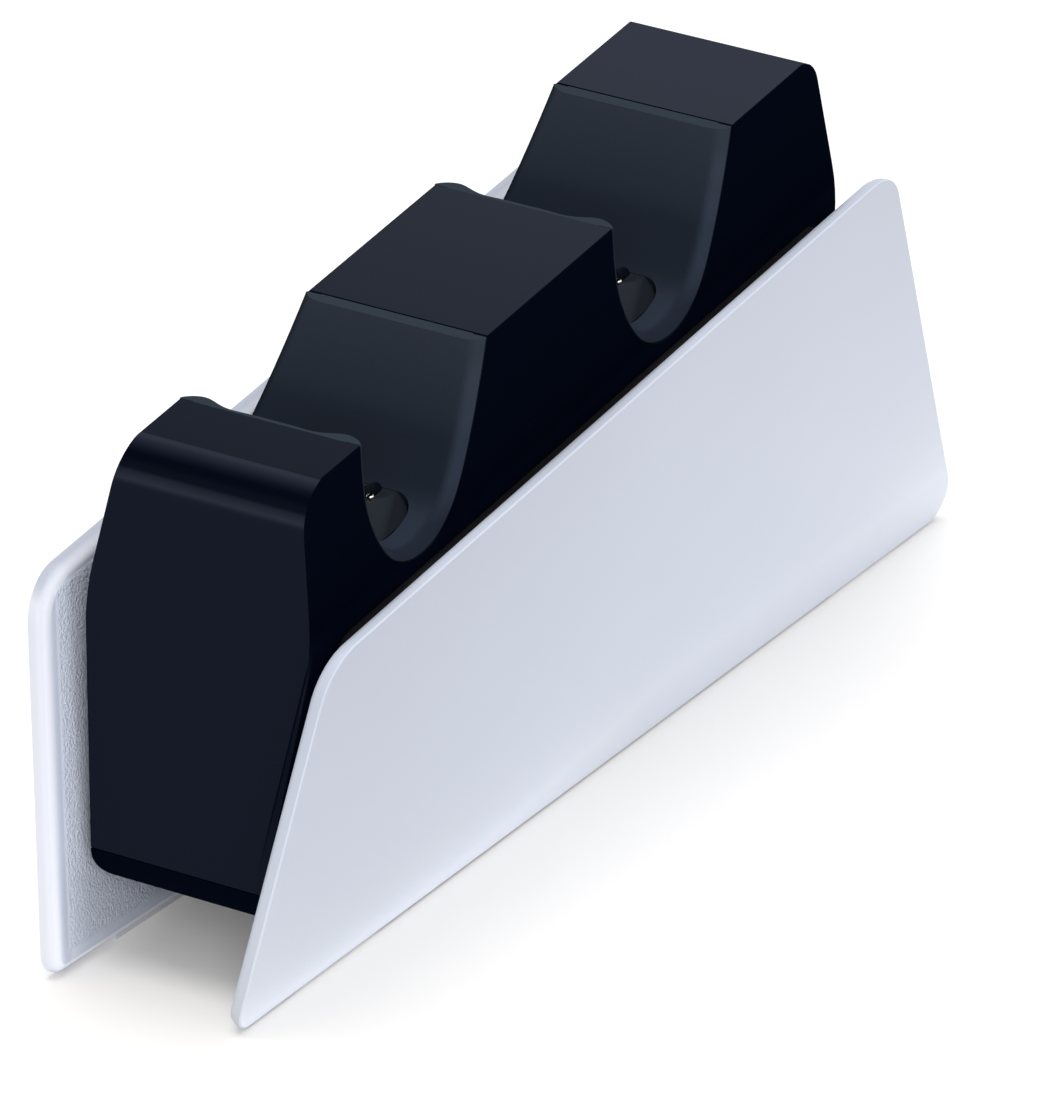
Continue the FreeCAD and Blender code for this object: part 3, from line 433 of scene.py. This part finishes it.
class DOCK_OT_cradles(DockOperator, bpy.types.Operator):
    """Soft grained liners of the two cradles and the pods that hold the contacts, with painted light and shade on the
    liners and the pods' fronts
    """

    bl_idname = "dock.cradles"
    bl_label = "Cradle Liners and Contact Pods"

    def make(self, scene):
        colours, grain = scene.dock_colours, scene.dock_grain
        finish = Finish("liner_soft", Specular_IOR_Level=0.0)
        fine = finish.noise(1.0 / grain.liner_grain, 3.0, 0.6)
        depth, upward, right = finish.depth(), finish.facing(RAMP_UP), finish.facing(RIGHT)
        high, low, foot = (depth.between(*fade) for fade in RIM_HIGHLIGHT_FADES)
        # Painted highlight on the right-facing rims, painted shade on the outermost and left-facing sides, painted
        # light on the cradle bottoms
        rim = right.between(0.15, 0.50) * (0.4 + high * 0.5 + low * 0.6) * (1.0 - foot)
        outer = right.between(0.75, 0.98) * 0.40 + (-right).between(0.30, 0.75) * 0.60
        start, end = (depth.between(*fade) for fade in MIDDLE_FADES)
        floor = upward.between(0.70, 0.95) * depth.between(*BOTTOM_FADE) * (1.0 - right.between(0.10, 0.35))
        shade = 0.93 + fine * 0.10 + finish.noise(60.0) * 0.06
        shade = shade * (1.0 + rim * 0.70) * (1.0 - outer) * (1.0 - start * (1.0 - end) * 0.20) * (1.0 + floor * 0.45)
        # Painted light: paler towards the tops of the backrests
        upper = 1.0 - (depth / UPPER_LINING).clamped()
        tone = finish.scaled(finish.blend(upper, colours.liner, colours.liner_high_lit), shade)
        # Painted light on the upward-facing lip
        lip = upward.between(0.96, 0.99) * (1.0 - depth.between(*LIP_FADE))
        finish.drive("Base Color", finish.blend(lip, tone, colours.liner_lip_lit))
        finish.drive("Roughness", 0.55 + fine * 0.18)
        finish.drive("Normal", finish.relief(fine, 0.00002))
        finish.wear("cradle_liner_front", "cradle_liner_rear", angle=35.0)

        pod = Finish("pod_satin", Specular_IOR_Level=0.0)
        fine = pod.noise(1.0 / grain.liner_grain)
        # Painted light on the pod's sloping front
        tone = pod.blend(pod.facing(AHEAD).between(0.05, 0.45), colours.pod, colours.pod_front)
        pod.drive("Base Color", pod.scaled(tone, 0.92 + fine * 0.16))
        pod.drive("Roughness", 0.40 + fine * 0.12)
        pod.drive("Normal", pod.relief(fine, 0.000006))
        pod.wear("contact_pod_front", "contact_pod_rear")


class DOCK_OT_contacts(DockOperator, bpy.types.Operator):
    """Plated contact pins and their sleeves, and the steel springs under them"""

    bl_idname = "dock.contacts"
    bl_label = "Contacts and Springs"

    def make(self, scene):
        colours = scene.dock_colours
        plated = Finish("contact_plating", Metallic=1.0)
        worn = plated.noise(3000.0)
        tone = plated.blend(worn, colours.contact, colours.contact_worn)
        # Painted shade on the pins below their upward-facing tips, which keep their brightness
        lit_tip = plated.facing(RAMP_UP).between(0.60, 0.95)
        plated.drive("Base Color", plated.scaled(tone, 0.25 + lit_tip * 0.65))
        plated.drive("Roughness", 0.18 + worn * 0.16)
        names = [f"contact_pin_{end}_{side}" for end in ("front", "rear") for side in ("left", "right")]
        plated.wear("contact_sleeves_front", "contact_sleeves_rear", "power_inlet_pin", *names)

        wire = Finish("spring_wire", Metallic=1.0)
        drawn = wire.noise(2500.0, stretch=(1.0, 1.0, 4.0))
        wire.drive("Base Color", wire.blend(drawn, colours.steel, colours.steel_pale))
        wire.drive("Roughness", 0.28 + drawn * 0.15)
        wire.wear(*(name.replace("pin", "spring") for name in names))


class DOCK_OT_panels(DockOperator, bpy.types.Operator):
    """White side panels: smooth outside, with a fine grain inside a plain border, and painted light and shade on both
    """

    bl_idname = "dock.panels"
    bl_label = "Side Panels"

    def make(self, scene):
        colours, grain = scene.dock_colours, scene.dock_grain
        # Each panel gets its painted light and shade from its own method
        for side, name, light_and_shade in ((1.0, "side_panel_right", self.right_light_and_shade),
                                 (-1.0, "side_panel_left", self.left_light_and_shade)):
            finish = Finish(name + "_white", Specular_IOR_Level=0.2)
            outward = finish.facing(RIGHT) * side
            pebble = finish.noise(1.0 / grain.panel_grain, roughness=0.55)
            inside = self.distance_inside(finish).between(grain.panel_border, grain.panel_border + GRAIN_FADE)
            grainy = (-outward).between(0.80, 0.95) * inside
            shade = finish.scaled(light_and_shade(finish, outward), 1.0 + (pebble - 0.5) * grainy * 0.25)
            finish.drive("Base Color", finish.node("VectorMath", {"operation": "MULTIPLY"},
                                                   {0: colours.panel, 1: shade}))
            finish.drive("Roughness", 0.315 + grainy * 0.16 + pebble * 0.05)
            finish.drive("Normal", finish.relief(pebble * (0.03 + grainy), 0.00035))
            finish.wear(name)

    def right_light_and_shade(self, finish, outward):
        """Painted light and shade of the right panel: paler low down, darker rim, painted highlight along the outer
        rounding.
        """
        y, height = finish.axis("Y"), finish.axis("Z")
        limit = 0.60 - y.between(*RIGHT_LIMIT) * 0.39
        glow = (GLOW_REACH / (height + GLOW_START) - GLOW_LOSS).least(limit)
        face = (0.905 + y.between(*RIGHT_FACE) * 0.09) * (1.0 + glow)
        rim = 0.87 + outward.between(0.28, 0.45) * 0.20
        shade = self.height_shade_and_clouds(finish, height) * (rim + outward.between(0.88, 0.98) * (face - rim))
        return finish.scaled(finish.blend((glow * 4.0).clamped(), WHITE, GLOW_TINT), shade)

    def left_light_and_shade(self, finish, outward):
        """Painted light and shade of the left panel: pale front, shaded deeper in and lower down."""
        height, front, inward = finish.axis("Z"), finish.front_distance(), -outward
        turned = inward.between(0.15, 0.85)
        inner = inward.between(0.93, 0.985)
        deep = 1.34 - front.between(*LEFT_INWARD) * 0.31
        deep = deep * (0.85 + height.between(*LEFT_LOW) * 0.15)
        deep = deep * (0.86 + abs(front - LEFT_BAND).between(*LEFT_BAND_FADE) * 0.14)
        top = finish.facing(RAMP_UP).between(0.6, 0.9) * (1.0 - turned)
        rim = 1.0 + turned * 0.20 + inward.between(0.6, 0.92) * 0.12 - top * 0.26
        shade = self.height_shade_and_clouds(finish, height) * (rim + inner * (deep - rim))
        ahead = finish.facing(AHEAD).between(0.5, 0.8)
        pale = finish.blend(ahead.most(turned), WHITE, LEFT_EDGE_LIGHT)
        return finish.scaled(finish.blend(inner, pale, LEFT_INNER_LIGHT), shade)

    def height_shade_and_clouds(self, finish, height):
        """Painted light that falls towards the top, with faint clouds."""
        return 1.05 + finish.noise(25.0, 3.0) * 0.05 - (height / PANEL_HEIGHT).clamped() * 0.17

    def distance_inside(self, finish):
        """Distance in from the nearest of a panel's four sides, seen from beside the dock."""
        height = finish.axis("Z")
        rear = (PANEL_REAR_FOOT - finish.axis("Y")) * math.cos(PANEL_REAR_LEAN) - height * math.sin(PANEL_REAR_LEAN)
        top = finish.depth() - PANEL_TOP_DEPTH
        return finish.front_distance().least(rear).least(top).least(height)


class DOCK_OT_trim(DockOperator, bpy.types.Operator):
    """Dark spacer plates, rubber foot pads and steel screws"""

    bl_idname = "dock.trim"
    bl_label = "Spacers, Pads and Screws"

    def make(self, scene):
        colours = scene.dock_colours
        spacer = Finish("spacer_black", Specular_IOR_Level=0.12)
        grain = spacer.noise(1600.0)
        spacer.drive("Base Color", spacer.blend(grain, colours.spacer, colours.spacer_fleck))
        spacer.drive("Roughness", 0.42 + grain * 0.16)
        spacer.drive("Normal", spacer.relief(grain, 0.00001))
        spacer.wear("spacer_plate_left", "spacer_plate_right")

        rubber = Finish("pad_rubber", Specular_IOR_Level=0.3)
        crumb = rubber.noise(1800.0, 4.0, 0.7)
        rubber.drive("Base Color", rubber.blend(crumb, colours.rubber, colours.rubber_fleck))
        rubber.drive("Roughness", 0.72 + crumb * 0.2)
        rubber.drive("Normal", rubber.relief(crumb, 0.00004))
        rubber.wear("foot_pads_left", "foot_pads_right")

        screw = Finish("screw_steel", Metallic=1.0)
        turned = screw.noise(2200.0, stretch=(1.0, 1.0, 3.0))
        screw.drive("Base Color", screw.blend(turned, colours.steel, colours.steel_dark))
        screw.drive("Roughness", 0.30 + turned * 0.2)
        screw.wear("base_screws", "panel_screws", "pod_screws_front", "pod_screws_rear")


class DOCK_OT_inside(DockOperator, bpy.types.Operator):
    """Circuit boards, power inlet and ballast inside the housing"""

    bl_idname = "dock.inside"
    bl_label = "Boards, Inlet and Ballast"

    def make(self, scene):
        colours = scene.dock_colours
        board = Finish("board_mask", Specular_IOR_Level=0.5)
        tracks = board.cells(420.0, (1.0, 0.35, 1.0)).between(0.35, 0.45)
        cloud = board.noise(700.0)
        board.drive("Base Color", board.blend(tracks, colours.board, colours.tracks))
        board.drive("Roughness", 0.25 + cloud * 0.2)
        board.drive("Normal", board.relief(tracks, 0.00003))
        board.wear("main_board", "terminal_board_front", "terminal_board_rear")

        inlet = Finish("inlet_black", Specular_IOR_Level=0.4)
        grain = inlet.noise(1500.0)
        inlet.drive("Base Color", inlet.blend(grain, colours.inlet, colours.inlet_fleck))
        inlet.drive("Roughness", 0.4 + grain * 0.15)
        inlet.wear("power_inlet")

        ballast = Finish("ballast_steel", Metallic=1.0)
        rolled = ballast.noise(260.0, 4.0, 0.6, stretch=(1.0, 0.1, 1.0))
        ballast.drive("Base Color", ballast.blend(rolled, colours.ballast, colours.ballast_pale))
        ballast.drive("Roughness", 0.42 + rolled * 0.25)
        ballast.drive("Normal", ballast.relief(rolled, 0.00004))
        ballast.wear("ballast_weight")


class DOCK_OT_stage(DockOperator, bpy.types.Operator):
    """Pale floor, soft light and the camera"""

    bl_idname = "dock.stage"
    bl_label = "Stage"

    def make(self, scene):
        stage = scene.dock_stage
        self.floor(scene, stage)
        self.sky(scene, stage)
        self.lamps(scene, stage)
        self.camera(scene)
        scene.view_settings.view_transform = "Standard"

    def floor(self, scene, stage):
        mesh = bpy.data.meshes.new("floor")
        corners = [(x * FLOOR_REACH, y * FLOOR_REACH, 0.0) for x, y in ((-1, -1), (1, -1), (1, 1), (-1, 1))]
        mesh.from_pydata(corners, [], [(0, 1, 2, 3)])
        floor = bpy.data.objects.new("floor", mesh)
        scene.collection.objects.link(floor)
        finish = Finish("floor_white", Specular_IOR_Level=0.0, Roughness=1.0)
        distance = finish.node("VectorMath", {"operation": "LENGTH"}, {0: finish.place()}, "Value")
        finish.drive("Base Color", finish.blend(distance.between(*FLOOR_AWAY), stage.floor_near, stage.floor))
        seen = finish.node("LightPath", output="Is Camera Ray")
        finish.drive("Emission Strength", seen * stage.lift)
        finish.drive("Emission Color", WHITE)
        mesh.materials.append(finish.material)

    def sky(self, scene, stage):
        world = scene.world or bpy.data.worlds.new("sky")
        scene.world = world
        world.use_nodes = True
        tree = world.node_tree
        background = next(node for node in tree.nodes if node.type == "BACKGROUND")
        feed(tree, background.inputs["Color"], WHITE)
        rays = tree.nodes.new("ShaderNodeLightPath")
        seen = Signal(tree, rays.outputs["Is Camera Ray"]).most(Signal(tree, rays.outputs["Is Transmission Ray"]))
        seen = seen.most(Signal(tree, rays.outputs["Is Glossy Ray"]))
        strength = seen * (1.0 - stage.sky) + stage.sky
        feed(tree, background.inputs["Strength"], strength)

    def lamps(self, scene, stage):
        for name, place, size, power in (
            ("key_lamp", (-0.25, 0.2, 1.8), 1.8, stage.key),
            ("fill_lamp", (0.9, -1.45, 0.9), 0.9, stage.key * 0.35),
        ):
            data = bpy.data.lights.new(name, "AREA")
            data.shape = "DISK"
            data.size = size
            data.energy = power
            lamp = bpy.data.objects.new(name, data)
            lamp.location = place
            lamp.rotation_euler = (-Vector(place)).to_track_quat("-Z", "Y").to_euler()
            scene.collection.objects.link(lamp)

    def camera(self, scene):
        """The camera that the dock's edges in the photograph were fitted with."""
        data = bpy.data.cameras.new("camera")
        data.sensor_width = 36.0
        data.lens = 366.14
        data.clip_start = 0.05
        data.clip_end = 30.0
        camera = bpy.data.objects.new("camera", data)
        right = Vector((0.84528, 0.53432, 0.0))
        up = Vector((-0.22687, 0.35890, 0.90538))
        back = right.cross(up)
        turn = Matrix((right, up, back)).transposed().to_4x4()
        camera.matrix_world = Matrix.Translation((0.802641, -1.270700, 0.734120)) @ turn
        scene.collection.objects.link(camera)
        scene.camera = camera


class DOCK_PT_panel(bpy.types.Panel):
    """Lists the steps that finish the dock"""

    bl_label = "Charging Dock"
    bl_idname = "DOCK_PT_panel"
    bl_space_type = "VIEW_3D"
    bl_region_type = "UI"
    bl_category = "Dock"

    def draw(self, context):
        column = self.layout.column(align=True)
        for step in STEPS:
            column.operator(step.bl_idname)
        for group in (context.scene.dock_colours, context.scene.dock_grain, context.scene.dock_stage):
            box = self.layout.box()
            for name in group.__annotations__:
                box.prop(group, name)


STEPS = (DOCK_OT_stage, DOCK_OT_housing, DOCK_OT_cradles, DOCK_OT_contacts, DOCK_OT_panels, DOCK_OT_trim,
         DOCK_OT_inside)
CLASSES = (DockColours, DockGrain, DockStage) + STEPS + (DOCK_PT_panel,)


def register():
    for cls in CLASSES:
        bpy.utils.register_class(cls)
    bpy.types.Scene.dock_colours = PointerProperty(type=DockColours)
    bpy.types.Scene.dock_grain = PointerProperty(type=DockGrain)
    bpy.types.Scene.dock_stage = PointerProperty(type=DockStage)


def unregister():
    del bpy.types.Scene.dock_stage
    del bpy.types.Scene.dock_grain
    del bpy.types.Scene.dock_colours
    for cls in reversed(CLASSES):
        bpy.utils.unregister_class(cls)


def main():
    register()
    for step in STEPS:
        group, name = step.bl_idname.split(".")
        getattr(getattr(bpy.ops, group), name)()


if __name__ == "__main__":
    main()
